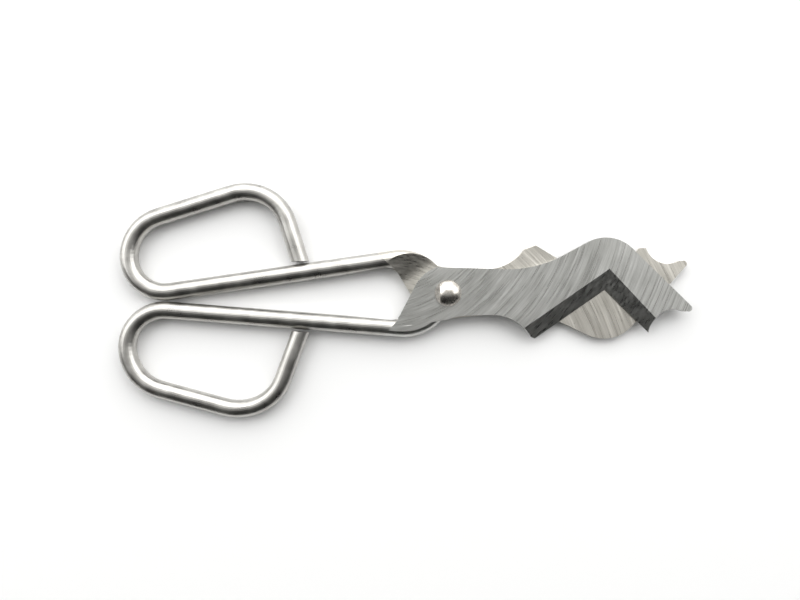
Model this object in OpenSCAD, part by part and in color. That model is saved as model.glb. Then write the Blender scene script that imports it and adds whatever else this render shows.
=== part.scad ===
// Diamond shears for hot glass. Two crossed halves turn on one headed screw. Each half is a
// ground blade with a V notch, butt welded to a round bar that is bent into a finger loop.
// Millimetres, +X from the screw to the blades, +Z up. The origin is on the screw's axis, at
// the level that the closed shears rest on. Both halves are drawn in one way: blade above its
// mating face, notch and handle towards -Y. The back half is then rolled over about X.

/* [Round bar] */
// Diameter of the bar of both handles
bar_d = 8; // [7.4:0.1:9]
// Depth that grinding takes off the bar's crest at a blade
crest_grind = 0.2; // [0.1:0.05:0.5]
// Gap between the finger loops when the shears are closed
loop_gap = 0.3; // [0.2:0.1:1]
// Y of the place where the finger loops meet
meet_y = 0.4; // [-0.5:0.1:0.8]
// Gap between a loop's cut end and its own arm
end_gap = 1; // [0.5:0.1:3]

/* [Front handle] */
// Angle of the arm to the X axis
front_arm_slope = 6.2; // [5.8:0.1:6.8]
// X of the place where the arm turns into the heel bend
front_heel_x = -129; // [-150:1:-115]
// Radius of the heel bend next to the arm
front_heel_r = 17; // [14:0.5:20]
// Turn made at that radius
front_heel_turn = 100; // [70:5:120]
// Radius of the rest of the heel bend
front_back_r = 20.6; // [16:0.2:24]
// Angle of the loop's far side to the X axis
front_far_slope = 16.8; // [12:0.2:20]
// Length of the straight far side
front_far_length = 30.6; // [26:0.2:36]
// Radius of the crown bend next to the far side
front_crown_r = 24; // [18:0.5:27]
// Turn made at that radius
front_crown_turn = 39; // [20:1:55]
// Radius of the rest of the crown bend
front_shoulder_r = 20.3; // [16:0.1:24]
// Angle of the leg to the X axis
front_leg_slope = 67.9; // [60:0.1:76]
// Turn of the cut on the loop's end, away from the arm's own line
front_cut_turn = 0; // [0:1:10]

/* [Back handle] */
// Angle of the arm to the X axis
back_arm_slope = 6.5; // [5.8:0.1:6.8]
// X of the place where the arm turns into the heel bend
back_heel_x = -127.7; // [-150:0.1:-115]
// Radius of the heel bend next to the arm
back_heel_r = 16.3; // [14:0.1:20]
// Turn made at that radius
back_heel_turn = 102; // [70:1:120]
// Radius of the rest of the heel bend
back_back_r = 19.4; // [16:0.1:24]
// Angle of the loop's far side to the X axis
back_far_slope = 15.6; // [12:0.2:20]
// Length of the straight far side
back_far_length = 35.1; // [30:0.1:38]
// Radius of the crown bend next to the far side
back_crown_r = 21.7; // [18:0.1:27]
// Turn made at that radius
back_crown_turn = 30; // [20:1:55]
// Radius of the rest of the crown bend
back_shoulder_r = 19.7; // [16:0.1:24]
// Angle of the leg to the X axis
back_leg_slope = 74.1; // [64:0.1:80]
// Turn of the cut on the loop's end, away from the arm's own line
back_cut_turn = 6; // [0:1:10]

/* [Elbows] */
// X of the corner of the front bar's elbow, on its centre line
front_elbow_x = -14.6; // [-17:0.1:-12]
// X of the corner of the back bar's elbow, on its centre line
back_elbow_x = -16.5; // [-18:0.1:-14]
// Radius of the elbow bend
elbow_r = 20; // [16:0.5:24]
// Angle at which the bar runs into the blade
root_slope = 36; // [32:1:40]
// Radius of the web between the elbow and the blade's throat
gusset_r = 22; // [16:1:26]
// Part of that web, in degrees, that stands clear of the bar
gusset_turn = 22; // [10:1:28]
// Distance from the elbow's corner to the weld, along the arm
seam_reach = 12; // [10:0.5:14]
// Angle of the weld to the X axis
seam_slope = 45; // [40:1:52]
// Distance from the elbow's corner over which the window side of the arm is ground
window_reach = 35; // [28:1:45]
// Depth of that grinding at the front elbow
front_window_grind = 0.6; // [0.2:0.1:1.4]
// Depth of that grinding at the back elbow
back_window_grind = 0.9; // [0.4:0.1:1.2]
// Corner radius of the window at the front elbow
front_window_r = 4.5; // [3:0.5:8]
// Corner radius of the window at the back elbow
back_window_r = 7; // [4:0.5:9]

/* [Blade outline] */
// Gap between the mating faces of the blades
blade_gap = 0.05; // [0.02:0.01:0.1]
// X of the corner where the back edge starts
corner_x = -4.7; // [-7:0.1:-3]
// Distance of the back edge from the screw's axis
back_edge_y = 11.6; // [10.5:0.1:13]
// Fall of the back edge towards the dome
back_edge_slope = 3.4; // [2:0.2:5]
// Radius of the sweep from the back edge up to the dome
sweep_r = 54; // [40:1:60]
// Rise of the straight stretch below the dome
rise_slope = 27; // [24:1:30]
// X of the dome's centre
dome_x = 71.9; // [68:0.1:76]
// Y of the dome's centre
dome_y = 6.1; // [4:0.1:8]
// Radius of the dome
dome_r = 17; // [15:0.5:19]
// Fall of the straight nose
nose_slope = 46.2; // [44:0.2:48]
// X of the centre of the prong's rounded end
prong_x = 109; // [106:0.5:112]
// Radius of the prong's rounded end
prong_r = 1.5; // [1:0.1:2]
// X of the centre of the hollow under the prong
hollow_x = 102.1; // [100.5:0.1:103.5]
// Y of the centre of the hollow under the prong
hollow_y = -21.1; // [-22:0.1:-20.6]
// Radius of the hollow under the prong
hollow_r = 10.7; // [9.5:0.1:11.2]
// Angle, seen from the hollow's centre, at which it ends at the prong
hollow_end = 62; // [58:1:66]
// Y of the lowest point of the toe, the notch's tip next to the prong
toe_y = -20.8; // [-22:0.1:-19]
// Distance of the throat edge from the screw's axis
throat_y = -10.5; // [-12:0.1:-9]
// X where the throat edge starts to bend down to the heel tip
throat_x = 19; // [16:0.5:22]
// Radius of that bend
throat_r = 21.3; // [19:0.1:24]
// Turn of that bend
throat_turn = 60; // [50:1:64]
// X of the heel tip, the notch's tip next to the screw
heel_tip_x = 39.3; // [38.6:0.1:41]
// Radius of the end of the blade beside the window
end_r = 17.5; // [15.5:0.5:19]
// Angle of the straight edge beside the window
end_slope = 61; // [57:1:65]
// X of that radius' centre
end_x = 0.4; // [-1:0.1:2]
// Y of that radius' centre
end_y = -4.8; // [-6:0.1:-4]

/* [Notch] */
// X of the cutting edge's inner corner
notch_x = 72.3; // [70:0.1:74]
// Y of the cutting edge's inner corner
notch_y = -0.6; // [-2:0.1:0.4]
// Slope of the cutting edge towards the screw
notch_heel_slope = 33; // [30:0.5:36]
// Slope of the cutting edge towards the prong
notch_toe_slope = 48.6; // [46:0.2:52]
// Radius in the cutting edge's inner corner
notch_r = 1.4; // [0.6:0.1:2.4]
// Width of the ground bevel behind the cutting edge
bevel_w = 7.2; // [5:0.1:8.5]
// Thickness left at the cutting edge
edge_land = 0.5; // [0.3:0.1:0.9]
// Slope of the lead-in ground under each notch tip
lead_slope = 12; // [8:1:16]
// Length of the lead-in under the heel tip
heel_lead_length = 1.9; // [1:0.1:3]
// Length of the lead-in under the toe
toe_lead_length = 2.7; // [1:0.1:3.5]

/* [Mating relief] */
// Distance from the screw's axis to the foot of the slope ground into each elbow
relief_reach = 14.5; // [14.2:0.1:16]
// Direction of the slope, seen from the screw
relief_turn = 236.6; // [232:0.2:241]
// Radius at the foot of the slope
relief_r = 12; // [8:1:16]
// Angle of the slope
relief_slope = 20; // [16:1:26]

/* [Pivot screw] */
// Diameter of the shank
shank_d = 6; // [5:0.1:7]
// Radial clearance of the shank in the blades
shank_clearance = 0.05; // [0.02:0.01:0.1]
// Diameter of the head
head_d = 12; // [10.6:0.1:14]
// Thickness of the head's rim
rim_t = 0.8; // [0.5:0.1:1.4]
// Width of the rim outside the dome
rim_w = 0.3; // [0.2:0.05:1]
// Height of the dome above the rim
crown_h = 2.6; // [1.8:0.1:3.4]
// Distance from the axis to the flat on the handle side of the dome
handle_flat = 3.8; // [3.2:0.1:4.6]
// Distance from the axis to the flat on the blade side of the dome
blade_flat = 5; // [3.6:0.1:5.2]
// Diameter of the peened tail
tail_d = 8.4; // [7.6:0.1:10]
// Depth of the countersink that the tail fills
tail_sink = 1.2; // [0.6:0.1:2]
// Clearance between the tail and its countersink
tail_clearance = 0.02; // [0.01:0.01:0.05]

/* [Hidden] */
$fn = 96;
bar_r = bar_d / 2;
// Faces of a blade, measured from the mating plane through the bars' axes
face_low = blade_gap / 2;
face_high = bar_r - crest_grind;
// Larger than anything that a cut has to clear
reach = 200;
// Distance from a bar's centre line, towards the window, of the flat stock's edge inside it
core = 1.1;
// Turn of the elbow bend past its root, inside the blade
sunk_turn = 12;
// Turn between the points of an arc
arc_step = 5;
// Facets round a bar, and the turn between its rings in a bend
bar_sides = 32;
bend_step = 7.5;

// A half is a list of its own sizes, read by these names
ARM_SLOPE = 0;
HEEL_X = 1;
HEEL_R = 2;
HEEL_TURN = 3;
BACK_R = 4;
FAR_SLOPE = 5;
FAR_LENGTH = 6;
CROWN_R = 7;
CROWN_TURN = 8;
SHOULDER_R = 9;
LEG_SLOPE = 10;
CUT_TURN = 11;
ELBOW_X = 12;
WINDOW_GRIND = 13;
WINDOW_R = 14;
LOOP_Y = 15;
FRONT = [
    front_arm_slope, front_heel_x, front_heel_r, front_heel_turn, front_back_r,
    front_far_slope, front_far_length, front_crown_r, front_crown_turn, front_shoulder_r,
    front_leg_slope, front_cut_turn, front_elbow_x, front_window_grind, front_window_r,
    meet_y - loop_gap / 2
];
BACK = [
    back_arm_slope, back_heel_x, back_heel_r, back_heel_turn, back_back_r,
    back_far_slope, back_far_length, back_crown_r, back_crown_turn, back_shoulder_r,
    back_leg_slope, back_cut_turn, back_elbow_x, back_window_grind, back_window_r,
    -meet_y - loop_gap / 2
];

// Unit vector at an angle, and the same vector turned a quarter to the left
function along(angle) = [cos(angle), sin(angle)];
function left_of(angle) = [-sin(angle), cos(angle)];
// Point where the line from a at one angle meets the line from b at another
function crossing(a, angle_a, b, angle_b) =
    let (d = b - a)
    a + along(angle_a) * (d * left_of(angle_b)) / (along(angle_a) * left_of(angle_b));

// Centre line of a half's bar: start of the heel bend, elbow corner, start and turn of the elbow
function heel_start(half) =
    [half[HEEL_X], half[LOOP_Y] - bar_r - half[HEEL_R] * (1 - cos(half[ARM_SLOPE]))];
function elbow_corner(half) =
    heel_start(half)
    + along(-half[ARM_SLOPE]) * (half[ELBOW_X] - half[HEEL_X]) / cos(half[ARM_SLOPE]);
function elbow_turn(half) = half[ARM_SLOPE] + root_slope;
function elbow_start(half) =
    elbow_corner(half) - along(-half[ARM_SLOPE]) * elbow_r * tan(elbow_turn(half) / 2);
function elbow_centre(half) = elbow_start(half) + elbow_r * left_of(-half[ARM_SLOPE]);
// Centre of the web's radius, which touches the throat edge and the outside of the bar
function gusset_centre(half) =
    let (
        offset = elbow_corner(half) - (bar_r + gusset_r) * left_of(root_slope),
        run = (throat_y - gusset_r - offset[1]) / sin(root_slope)
    )
    offset + run * along(root_slope);

// Straight and round stretches of the blade's outline, and the points where they meet
function dome_centre() = [dome_x, dome_y];
function rise_start() = dome_centre() + dome_r * left_of(rise_slope);
function nose_start() = dome_centre() + dome_r * left_of(-nose_slope);
function back_edge_at(x) = back_edge_y - x * tan(back_edge_slope);
function sweep_corner() =
    crossing([0, back_edge_y], -back_edge_slope, rise_start(), rise_slope);
function sweep_half_length() = sweep_r * tan((back_edge_slope + rise_slope) / 2);
function sweep_low() = sweep_corner() - sweep_half_length() * along(-back_edge_slope);
function sweep_high() = sweep_corner() + sweep_half_length() * along(rise_slope);
function sweep_centre() = sweep_low() + sweep_r * left_of(-back_edge_slope);
function prong_centre() =
    [prong_x, nose_start()[1] - prong_r / cos(nose_slope)
        - (prong_x - nose_start()[0]) * tan(nose_slope)];
function hollow_centre() = [hollow_x, hollow_y];
function throat_centre() = [throat_x, throat_y - throat_r];
function notch_corner() = [notch_x, notch_y];
function notch_heel_at(x) = notch_y - (notch_x - x) * tan(notch_heel_slope);
function end_centre() = [end_x, end_y];
function end_side() = end_centre() + end_r * left_of(end_slope);

// Points of an arc from one angle to another
function arc(centre, radius, from, to) =
    let (count = ceil(abs(to - from) / arc_step))
    [for (k = [0 : count]) centre + radius * along(from + (to - from) * k / count)];

// Region bounded by two rays from a corner, that corner rounded
module rounded_wedge(corner, angle_a, angle_b, radius, size) {
    middle = corner + along((angle_a + angle_b) / 2) * radius / sin((angle_b - angle_a) / 2);
    polygon(concat(
        [corner + along(angle_b) * size],
        arc(middle, radius, angle_b - 270, angle_a - 90),
        [corner + along(angle_a) * size]
    ));
}

// Outline of a blade before its notch and the window beside it are cut
function blade_end() =
    let (start = atan2(back_edge_at(corner_x) - end_y, corner_x - end_x))
    arc(end_centre(), end_r, start, end_slope + 90);
function elbow_core(half) = [
    crossing(end_side(), end_slope, elbow_corner(half), -half[ARM_SLOPE]) - [2 * bar_d, 0],
    elbow_start(half) - 1.7 * bar_d * along(-half[ARM_SLOPE]) + core * left_of(-half[ARM_SLOPE]),
    elbow_start(half) + core * left_of(-half[ARM_SLOPE]),
    elbow_centre(half) - (elbow_r - core) * left_of(elbow_turn(half) / 2 - half[ARM_SLOPE])
];
module blade_stock_outline(half) {
    polygon(concat(
        blade_end(),
        elbow_core(half),
        arc(gusset_centre(half), gusset_r, 90 + gusset_turn, 90),
        arc(throat_centre(), throat_r, 90, 90 - throat_turn),
        [
            [heel_tip_x, notch_heel_at(heel_tip_x)],
            notch_corner(),
            [hollow_x - hollow_r, toe_y]
        ],
        arc(hollow_centre(), hollow_r, 180 - asin((toe_y - hollow_y) / hollow_r), hollow_end),
        arc(prong_centre(), prong_r, hollow_end - 180, 90 - nose_slope),
        arc(dome_centre(), dome_r, 90 - nose_slope, 90 + rise_slope),
        arc(sweep_centre(), sweep_r, rise_slope - 90, -back_edge_slope - 90)
    ));
}

// Plan of the notch at the cutting edge
module notch_plan() {
    rounded_wedge(notch_corner(), 180 + notch_heel_slope, 360 - notch_toe_slope, notch_r, reach);
}

// Plan of the window between a half's arm and its blade, with the strip ground off the arm
module window_plan(half) {
    out = along(180 - half[ARM_SLOPE]);
    side = left_of(-half[ARM_SLOPE]);
    far = elbow_corner(half) + window_reach * out + bar_r * side;
    near = elbow_corner(half) + seam_reach * out + (bar_r - half[WINDOW_GRIND]) * side;
    lower = atan2(far[1] - near[1], far[0] - near[0]);
    corner = crossing(near, lower, end_side(), end_slope);
    rounded_wedge(corner, end_slope, lower, half[WINDOW_R], window_reach);
}

// Plan of everything on the handle's side of the weld
module handle_zone(half) {
    weld = elbow_corner(half) + seam_reach * along(180 - half[ARM_SLOPE]);
    crotch = weld + bar_r / sin(seam_slope + half[ARM_SLOPE]) * along(seam_slope);
    polygon([
        crotch,
        weld - bar_d * along(seam_slope),
        weld - bar_d * along(seam_slope) - [0, reach],
        [-reach, -reach],
        [-reach, bar_d],
        [crotch[0] - bar_r, bar_d]
    ]);
}

// Notch with the bevels behind its cutting edges
module notch_cut() {
    translate([0, 0, -bar_d]) linear_extrude(2 * bar_d) notch_plan();
    intersection() {
        notch_bevel(notch_heel_slope);
        notch_bevel(-notch_toe_slope);
    }
}

// Half space over one bevel, whose cutting edge runs at the given angle
module notch_bevel(angle) {
    bevel_angle = atan2(face_high - face_low - edge_land, bevel_w);
    translate([notch_x, notch_y, face_low + edge_land])
        rotate([0, 0, angle])
            rotate([bevel_angle, 0, 0])
                translate([-reach, -reach, 0])
                    cube([2 * reach, 2 * reach, reach]);
}

// Lead-in under a notch tip: a slope that rises towards the tip
module lead_in(tip, direction, length) {
    start = tip - length * along(direction);
    translate([start[0], start[1], face_low])
        rotate([0, -lead_slope, direction])
            translate([-bar_d, -bar_d, -bar_d])
                cube([2 * bar_d, 2 * bar_d, bar_d]);
}

// Room for the other half: everything below the mating face, up to the slope in the elbow
module mating_relief() {
    foot = [for (turn = [0 : relief_slope / 4 : relief_slope])
        [relief_reach + relief_r * sin(turn), face_low - relief_r * (1 - cos(turn))]];
    last = foot[len(foot) - 1];
    run = reach / 4;
    slope_end = last + [run, -run * tan(relief_slope)];
    profile = concat(
        [[-reach, slope_end[1]], [-reach, face_low]], foot, [slope_end]
    );
    rotate([0, 0, relief_turn]) rotate([90, 0, 0]) translate([0, 0, -reach])
        linear_extrude(2 * reach) polygon(profile);
}

// Points along a list of steps [length, radius, left turn], each as [place, heading]
function step_end(step, at, heading) =
    step[2] == 0
        ? [at + step[0] * along(heading), heading]
        : [at + step[1] * (left_of(heading) - left_of(heading + step[2])), heading + step[2]];
function step_points(step, at, heading) =
    let (count = step[2] == 0 ? 1 : ceil(step[2] / bend_step))
    [for (k = [0 : count - 1])
        let (turn = step[2] * k / count)
        [at + step[1] * (left_of(heading) - left_of(heading + turn)), heading + turn]];
function route(steps, at, heading, i = 0) =
    i == len(steps)
        ? [[at, heading]]
        : let (next = step_end(steps[i], at, heading))
            concat(step_points(steps[i], at, heading), route(steps, next[0], next[1], i + 1));

// Steps of the arm and the finger loop, from the elbow round to the end of the shoulder bend
function loop_steps(half) =
    let (
        arm_length = (elbow_start(half)[0] - half[HEEL_X]) / cos(half[ARM_SLOPE]),
        half_turn = 180 + half[ARM_SLOPE] - half[FAR_SLOPE],
        crown_turn = half[FAR_SLOPE] + half[LEG_SLOPE]
    )
    [
        [arm_length, 0, 0],
        [0, half[HEEL_R], half[HEEL_TURN]],
        [0, half[BACK_R], half_turn - half[HEEL_TURN]],
        [half[FAR_LENGTH], 0, 0],
        [0, half[CROWN_R], half[CROWN_TURN]],
        [0, half[SHOULDER_R], crown_turn - half[CROWN_TURN]]
    ];

// Round bar along a route. The last ring lies in a cut at the given angle to the X axis.
module bar(points, cut_angle) {
    last = len(points) - 1;
    rings = [for (i = [0 : last])
        let (
            at = points[i][0],
            heading = points[i][1],
            lean = i == last ? 1 / tan(cut_angle - heading) : 0
        )
        for (j = [0 : bar_sides - 1])
            let (
                angle = 360 * (j + 0.5) / bar_sides,
                out = bar_r * cos(angle),
                place = at + out * left_of(heading) + out * lean * along(heading)
            )
            [place[0], place[1], bar_r * sin(angle)]];
    sides = [for (i = [0 : last - 1], j = [0 : bar_sides - 1])
        let (
            a = i * bar_sides + j,
            b = i * bar_sides + (j + 1) % bar_sides
        )
        each [[a, b, b + bar_sides], [a, b + bar_sides, a + bar_sides]]];
    start_cap = [for (j = [bar_sides - 1 : -1 : 0]) j];
    end_cap = [for (j = [0 : bar_sides - 1]) last * bar_sides + j];
    polyhedron(points = rings, faces = concat(sides, [start_cap, end_cap]));
}

// Bar of the elbow: a stub of the arm, and the bend that runs on into the blade
module elbow_bar(half) {
    start = elbow_start(half);
    translate([start[0], start[1], 0]) rotate(-half[ARM_SLOPE]) {
        translate([-2 * bar_d, 0, 0]) rotate([0, 90, 0]) cylinder(d = bar_d, h = 2 * bar_d);
        translate([0, elbow_r, 0]) rotate(-90)
            rotate_extrude(angle = elbow_turn(half) + sunk_turn)
                translate([elbow_r, 0]) circle(d = bar_d);
    }
}

// Bar of the arm and the finger loop, from the elbow round to the cut end
module loop_bar(half) {
    arm_heading = 180 - half[ARM_SLOPE];
    bends = route(loop_steps(half), elbow_start(half), arm_heading);
    leg = bends[len(bends) - 1];
    beside_arm = elbow_start(half) + (bar_r + end_gap) * left_of(arm_heading);
    cut_place = crossing(leg[0], leg[1], beside_arm, arm_heading);
    bar(concat(bends, [[cut_place, leg[1]]]), arm_heading + half[CUT_TURN]);
}

// One blade, with the elbow that it was welded at
module blade(half, hole_r) {
    difference() {
        union() {
            translate([0, 0, -face_high])
                linear_extrude(2 * face_high) blade_stock_outline(half);
            elbow_bar(half);
        }
        translate([-reach, -reach, face_high]) cube([2 * reach, 2 * reach, bar_d]);
        translate([0, 0, -bar_d]) linear_extrude(2 * bar_d) handle_zone(half);
        translate([0, 0, -bar_d]) linear_extrude(2 * bar_d) window_plan(half);
        mating_relief();
        notch_cut();
        lead_in([heel_tip_x, notch_heel_at(heel_tip_x)], 270 - (90 - notch_heel_slope) / 3,
            heel_lead_length);
        lead_in([hollow_x - hollow_r, toe_y], 268, toe_lead_length);
        cylinder(r = hole_r, h = reach, center = true);
    }
}

// One handle, up to the weld
module handle(half) {
    difference() {
        intersection() {
            loop_bar(half);
            translate([0, 0, -bar_d]) linear_extrude(2 * bar_d) handle_zone(half);
        }
        translate([0, 0, -bar_d]) linear_extrude(2 * bar_d) window_plan(half);
        mating_relief();
    }
}

// Puts a half's drawing on its own side of the mating plane
module as_front() {
    translate([0, 0, bar_r]) children();
}
module as_back() {
    translate([0, 0, bar_r]) rotate([180, 0, 0]) children();
}

// Countersink in the back blade, or the tail that fills it when the clearance is taken off
module tail_cone(clearance) {
    cylinder(r1 = tail_d / 2 - clearance, r2 = shank_d / 2 + shank_clearance - clearance,
        h = tail_sink);
}

module front_blade() {
    color("#a9a9a4") as_front() blade(FRONT, shank_d / 2 + shank_clearance);
}

module back_blade() {
    color("#b7b3a8") difference() {
        as_back() blade(BACK, shank_d / 2 + shank_clearance);
        tail_cone(0);
    }
}

module front_handle() {
    color("#c6c4bf") as_front() handle(FRONT);
}

module back_handle() {
    color("#c6c4bf") as_back() handle(BACK);
}

module pivot_screw() {
    head_z = bar_r + face_high + blade_gap;
    sphere_r = (pow(head_d / 2 - rim_w, 2) + pow(crown_h, 2)) / (2 * crown_h);
    color("#d9d5ca") {
        cylinder(d = shank_d, h = head_z + rim_t / 2);
        tail_cone(tail_clearance);
        translate([0, 0, head_z]) cylinder(d = head_d, h = rim_t);
        intersection() {
            translate([0, 0, head_z + rim_t + crown_h - sphere_r]) sphere(r = sphere_r);
            translate([-handle_flat, -head_d, head_z + rim_t / 2])
                cube([handle_flat + blade_flat, 2 * head_d, 2 * crown_h]);
        }
    }
}

front_blade();
back_blade();
front_handle();
back_handle();
pivot_screw();
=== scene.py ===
"""Diamond shears for hot glass: finishes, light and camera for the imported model.

The shears lie closed on a white table. The pivot's axis is Z, and +X runs to the blades.
"""
import logging
import math
from dataclasses import dataclass, field
from enum import Enum

import bpy
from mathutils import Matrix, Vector

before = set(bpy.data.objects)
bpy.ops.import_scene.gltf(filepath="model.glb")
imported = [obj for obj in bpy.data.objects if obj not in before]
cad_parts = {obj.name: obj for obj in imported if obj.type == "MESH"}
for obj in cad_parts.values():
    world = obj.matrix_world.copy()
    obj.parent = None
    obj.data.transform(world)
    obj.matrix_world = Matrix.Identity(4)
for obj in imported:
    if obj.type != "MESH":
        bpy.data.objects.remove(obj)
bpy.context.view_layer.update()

LOG = logging.getLogger("shears")
MM = 0.001
# The span that most of a noise texture's values fall in
NOISE_SPAN = (0.3, 0.7)


class Side(Enum):
    """Which half of the shears a finish is for, as the sign of its grinding arcs' centre."""

    FRONT = 1.0
    BACK = -1.0


class NodeSheet:
    """A material's node tree, with short ways to add and join nodes."""

    def __init__(self, name: str) -> None:
        """Start an empty material.

        Args:
            name: The material's name.
        """
        self.material = bpy.data.materials.new(name)
        self.material.use_nodes = True
        self.tree = self.material.node_tree
        self.tree.nodes.clear()

    def add(self, kind: str, **settings: object) -> bpy.types.Node:
        """Add a node.

        Args:
            kind: Blender's name for the node type.
            settings: Properties to set on it.

        Returns:
            The new node.
        """
        node = self.tree.nodes.new(kind)
        for key, value in settings.items():
            setattr(node, key, value)
        return node

    def join(self, out: bpy.types.NodeSocket, into: bpy.types.NodeSocket) -> None:
        """Link one socket into another."""
        self.tree.links.new(out, into)

    def math(self, operation: str, *inputs: object) -> bpy.types.NodeSocket:
        """Add a math node whose inputs are sockets or plain numbers.

        Args:
            operation: Blender's name for the operation.
            inputs: One socket or number for each input.

        Returns:
            The node's output.
        """
        node = self.add("ShaderNodeMath", operation=operation)
        for slot, value in zip(node.inputs, inputs):
            if isinstance(value, (int, float)):
                slot.default_value = value
            else:
                self.join(value, slot)
        return node.outputs[0]

    def noise(self, vector: bpy.types.NodeSocket, scale: float, detail: float) -> bpy.types.NodeSocket:
        """Add noise over a vector and return its value."""
        node = self.add("ShaderNodeTexNoise")
        node.inputs["Scale"].default_value = scale
        node.inputs["Detail"].default_value = detail
        self.join(vector, node.inputs["Vector"])
        return node.outputs["Fac"]

    def span(self, value: bpy.types.NodeSocket, low: float, high: float,
             to_low: float, to_high: float) -> bpy.types.NodeSocket:
        """Map a value from one span to another and return the result."""
        node = self.add("ShaderNodeMapRange")
        for name, number in (("From Min", low), ("From Max", high),
                             ("To Min", to_low), ("To Max", to_high)):
            node.inputs[name].default_value = number
        self.join(value, node.inputs["Value"])
        return node.outputs["Result"]

    def metal(self, colour: bpy.types.NodeSocket, roughness: bpy.types.NodeSocket,
              height: bpy.types.NodeSocket, strength: float, distance: float) -> bpy.types.Material:
        """Finish the sheet as bare metal with a bumped surface.

        Args:
            colour: The metal's colour.
            roughness: Its roughness.
            height: The height of the bumps, from 0 to 1.
            strength: How strongly they show.
            distance: How high they are, in metres.

        Returns:
            The finished material.
        """
        steel = self.add("ShaderNodeBsdfPrincipled")
        steel.inputs["Metallic"].default_value = 1.0
        self.join(colour, steel.inputs["Base Color"])
        self.join(roughness, steel.inputs["Roughness"])
        bump = self.add("ShaderNodeBump")
        bump.inputs["Strength"].default_value = strength
        bump.inputs["Distance"].default_value = distance
        self.join(height, bump.inputs["Height"])
        self.join(bump.outputs[0], steel.inputs["Normal"])
        out = self.add("ShaderNodeOutputMaterial")
        self.join(steel.outputs[0], out.inputs[0])
        return self.material

    def blend(self, factor: bpy.types.NodeSocket, dark: tuple[float, float, float],
              light: tuple[float, float, float]) -> bpy.types.NodeSocket:
        """Blend two colours by a factor and return the colour."""
        node = self.add("ShaderNodeMix", data_type="RGBA")
        node.inputs[6].default_value = (*dark, 1.0)
        node.inputs[7].default_value = (*light, 1.0)
        self.join(factor, node.inputs[0])
        return node.outputs[2]


@dataclass(frozen=True)
class GroundSteel:
    """Steel ground on a wheel: coarse scratches on arcs about one centre, over faint blotches."""

    name: str
    side: Side
    dark: tuple[float, float, float]
    light: tuple[float, float, float]
    scratch_strength: float = 0.35
    roughness: tuple[float, float] = (0.24, 0.42)
    arc_centre: tuple[float, float] = (-34.0 * MM, 54.5 * MM)
    scratches_per_metre: float = 5200.0
    streaks_per_turn: float = 14.0
    blotch_scale: float = 70.0
    pit_scale: float = 420.0
    pit_span: tuple[float, float] = (0.7, 0.76)
    pits: float = 0.0
    scratch_height: float = 0.02 * MM
    wide_scale: float = 0.22
    scratch_weight: float = 0.45
    wide_weight: float = 0.35
    blotch_weight: float = 0.3
    tone_span: tuple[float, float] = (0.38, 0.72)

    def make(self) -> bpy.types.Material:
        """Build the material.

        Returns:
            The finished material.
        """
        sheet = NodeSheet(self.name)
        place = sheet.add("ShaderNodeTexCoord")
        centred = sheet.add("ShaderNodeVectorMath", operation="SUBTRACT")
        sheet.join(place.outputs["Object"], centred.inputs[0])
        centred.inputs[1].default_value = (
            self.arc_centre[0], self.side.value * self.arc_centre[1], 0.0)
        parts = sheet.add("ShaderNodeSeparateXYZ")
        sheet.join(centred.outputs[0], parts.inputs[0])
        squares = [sheet.math("MULTIPLY", parts.outputs[i], parts.outputs[i]) for i in (0, 1)]
        radius = sheet.math("SQRT", sheet.math("ADD", *squares))
        turn = sheet.math("ARCTAN2", parts.outputs[1], parts.outputs[0])
        along = sheet.add("ShaderNodeCombineXYZ")
        sheet.join(sheet.math("MULTIPLY", radius, self.scratches_per_metre), along.inputs[0])
        sheet.join(sheet.math("MULTIPLY", turn, self.streaks_per_turn), along.inputs[1])
        sheet.join(sheet.math("MULTIPLY", parts.outputs[2], self.scratches_per_metre), along.inputs[2])
        scratches = sheet.noise(along.outputs[0], 1.0, 4.0)
        wide = sheet.noise(along.outputs[0], self.wide_scale, 2.0)
        blotches = sheet.noise(place.outputs["Object"], self.blotch_scale, 3.0)
        tone = sheet.math("ADD", sheet.math("MULTIPLY", scratches, self.scratch_weight),
                          sheet.math("MULTIPLY", wide, self.wide_weight))
        tone = sheet.math("ADD", tone, sheet.math("MULTIPLY", blotches, self.blotch_weight))
        tone = sheet.span(tone, *self.tone_span, 0.0, 1.0)
        pits = sheet.noise(place.outputs["Object"], self.pit_scale, 2.0)
        worn = sheet.span(pits, *self.pit_span, 0.0, self.pits)
        colour = sheet.blend(sheet.math("SUBTRACT", tone, worn), self.dark, self.light)
        rough = sheet.span(wide, *NOISE_SPAN, *self.roughness)
        return sheet.metal(colour, rough, scratches, self.scratch_strength, self.scratch_height)


@dataclass(frozen=True)
class PolishedBar:
    """Polished stainless steel with fine grain under a faint, uneven haze."""

    name: str
    dark: tuple[float, float, float] = (0.44, 0.43, 0.41)
    light: tuple[float, float, float] = (0.60, 0.59, 0.56)
    roughness: tuple[float, float] = (0.26, 0.38)
    haze_scale: float = 160.0
    grain_scale: float = 2400.0
    grain_weight: float = 0.3
    tone_span: tuple[float, float] = (0.5, 0.85)
    wave_strength: float = 0.12
    wave_height: float = 0.2 * MM

    def make(self) -> bpy.types.Material:
        """Build the material.

        Returns:
            The finished material.
        """
        sheet = NodeSheet(self.name)
        place = sheet.add("ShaderNodeTexCoord").outputs["Object"]
        haze = sheet.noise(place, self.haze_scale, 4.0)
        grain = sheet.noise(place, self.grain_scale, 2.0)
        mixed = sheet.math("ADD", haze, sheet.math("MULTIPLY", grain, self.grain_weight))
        colour = sheet.blend(sheet.span(mixed, *self.tone_span, 0.0, 1.0), self.dark, self.light)
        rough = sheet.span(haze, *NOISE_SPAN, *self.roughness)
        return sheet.metal(colour, rough, haze, self.wave_strength, self.wave_height)


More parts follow.
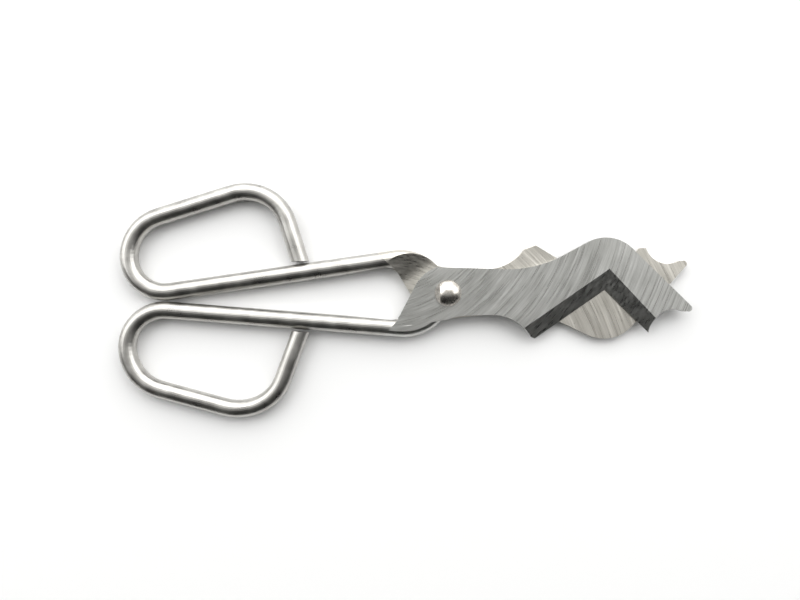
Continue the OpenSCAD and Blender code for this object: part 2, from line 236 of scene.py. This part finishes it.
@dataclass
class Half:
    """One half of the shears: a ground blade and the bent bar that is welded to it."""

    blade: str
    handle: str
    blade_finish: GroundSteel
    bar_finish: PolishedBar

    def dress(self) -> None:
        """Give both pieces of the half their finish."""
        dress_node(self.blade, self.blade_finish.make())
        dress_node(self.handle, self.bar_finish.make())


@dataclass
class Screw:
    """The pivot screw with its soft, worn dome."""

    node: str = "pivot_screw"
    finish: PolishedBar = field(default_factory=lambda: PolishedBar(
        "screw_steel", dark=(0.52, 0.49, 0.45), light=(0.74, 0.71, 0.66),
        roughness=(0.2, 0.34), haze_scale=420.0, wave_strength=0.4))

    def dress(self) -> None:
        """Give the screw its finish."""
        dress_node(self.node, self.finish.make())


@dataclass(frozen=True)
class Lamp:
    """A square soft lamp that faces the pivot."""

    name: str
    place: tuple[float, float, float]
    size: float
    watts: float

    def hang(self) -> None:
        """Put the lamp in the scene."""
        bpy.ops.object.light_add(type="AREA", location=self.place)
        lamp = bpy.context.object
        lamp.name = self.name
        lamp.data.shape = "SQUARE"
        lamp.data.size = self.size
        lamp.data.energy = self.watts
        lamp.rotation_euler = (-Vector(self.place)).to_track_quat("-Z", "Y").to_euler()


@dataclass
class Studio:
    """White table, soft light from behind the tool, and the camera straight above."""

    camera_place: tuple[float, float, float] = (-21.93 * MM, -2.46 * MM, 285.0 * MM)
    camera_turn: float = -1.75
    lens: float = 27.49
    sensor_width: float = 36.0
    table_size: float = 3.0
    table_grey: float = 0.93
    room_greys: tuple[tuple[float, float], ...] = (
        (0.0, 0.02), (0.3, 0.05), (0.44, 0.34), (0.56, 0.6), (0.75, 0.95), (1.0, 1.1))
    room_blue: float = 0.98
    lamps: tuple[Lamp, ...] = (
        Lamp("back_window", (0.0, 1.0, 0.75), 1.5, 12.0),
        Lamp("left_window", (-1.1, 0.5, 0.8), 1.2, 8.0),
        Lamp("right_window", (1.1, 0.5, 0.8), 1.2, 8.0),
    )

    def table(self) -> None:
        """Lay the white table under the shears."""
        bpy.ops.mesh.primitive_plane_add(size=self.table_size, location=(0.0, 0.0, 0.0))
        table = bpy.context.object
        table.name = "table"
        sheet = NodeSheet("white_table")
        paper = sheet.add("ShaderNodeBsdfDiffuse")
        paper.inputs["Color"].default_value = (self.table_grey, self.table_grey, self.table_grey, 1.0)
        out = sheet.add("ShaderNodeOutputMaterial")
        sheet.join(paper.outputs[0], out.inputs[0])
        table.data.materials.append(sheet.material)

    def sky(self) -> None:
        """Surround the shears with a room that is bright behind them and dark in front."""
        world = bpy.data.worlds.new("room")
        bpy.context.scene.world = world
        world.use_nodes = True
        tree = world.node_tree
        tree.nodes.clear()
        place = tree.nodes.new("ShaderNodeTexCoord")
        parts = tree.nodes.new("ShaderNodeSeparateXYZ")
        tree.links.new(place.outputs["Generated"], parts.inputs[0])
        ramp = tree.nodes.new("ShaderNodeValToRGB")
        while len(ramp.color_ramp.elements) < len(self.room_greys):
            ramp.color_ramp.elements.new(0.5)
        for element, (step, grey) in zip(ramp.color_ramp.elements, self.room_greys):
            element.position = step
            element.color = (grey, grey, grey * self.room_blue, 1.0)
        half = tree.nodes.new("ShaderNodeMapRange")
        half.inputs["From Min"].default_value = -1.0
        half.inputs["From Max"].default_value = 1.0
        tree.links.new(parts.outputs["Y"], half.inputs["Value"])
        tree.links.new(half.outputs["Result"], ramp.inputs["Fac"])
        light = tree.nodes.new("ShaderNodeBackground")
        tree.links.new(ramp.outputs["Color"], light.inputs["Color"])
        light.inputs["Strength"].default_value = 1.0
        out = tree.nodes.new("ShaderNodeOutputWorld")
        tree.links.new(light.outputs[0], out.inputs[0])

    def camera(self) -> None:
        """Hang the camera straight above the middle of the picture."""
        bpy.ops.object.camera_add(location=self.camera_place)
        camera = bpy.context.object
        camera.rotation_euler = (0.0, 0.0, math.radians(self.camera_turn))
        camera.data.lens = self.lens
        camera.data.sensor_width = self.sensor_width
        camera.data.clip_start = 0.01
        bpy.context.scene.camera = camera

    def build(self) -> None:
        """Set up the whole studio."""
        bpy.context.scene.view_settings.view_transform = "Standard"
        self.table()
        self.sky()
        for lamp in self.lamps:
            lamp.hang()
        self.camera()


def dress_node(node: str, material: bpy.types.Material) -> None:
    """Put one finish on every slot of a CAD node.

    Args:
        node: The node's name.
        material: The finish.
    """
    piece = bpy.data.objects[node]
    if not piece.material_slots:
        piece.data.materials.append(material)
    for slot in piece.material_slots:
        slot.material = material
    LOG.info("%s: %s, %d faces", node, material.name, len(piece.data.polygons))


def main() -> None:
    """Dress the halves and the screw, then set up the studio."""
    logging.basicConfig(level=logging.INFO)
    bpy.ops.object.select_all(action="DESELECT")
    bar = PolishedBar("bar_steel")
    front = GroundSteel("front_ground_steel", Side.FRONT, (0.40, 0.40, 0.38), (0.68, 0.68, 0.66))
    back = GroundSteel("back_ground_steel", Side.BACK, (0.50, 0.48, 0.43), (0.82, 0.79, 0.73),
                       pits=0.8, scratch_strength=0.25)
    Half("front_blade", "front_handle", front, bar).dress()
    Half("back_blade", "back_handle", back, bar).dress()
    Screw().dress()
    Studio().build()


if __name__ == "__main__":
    main()
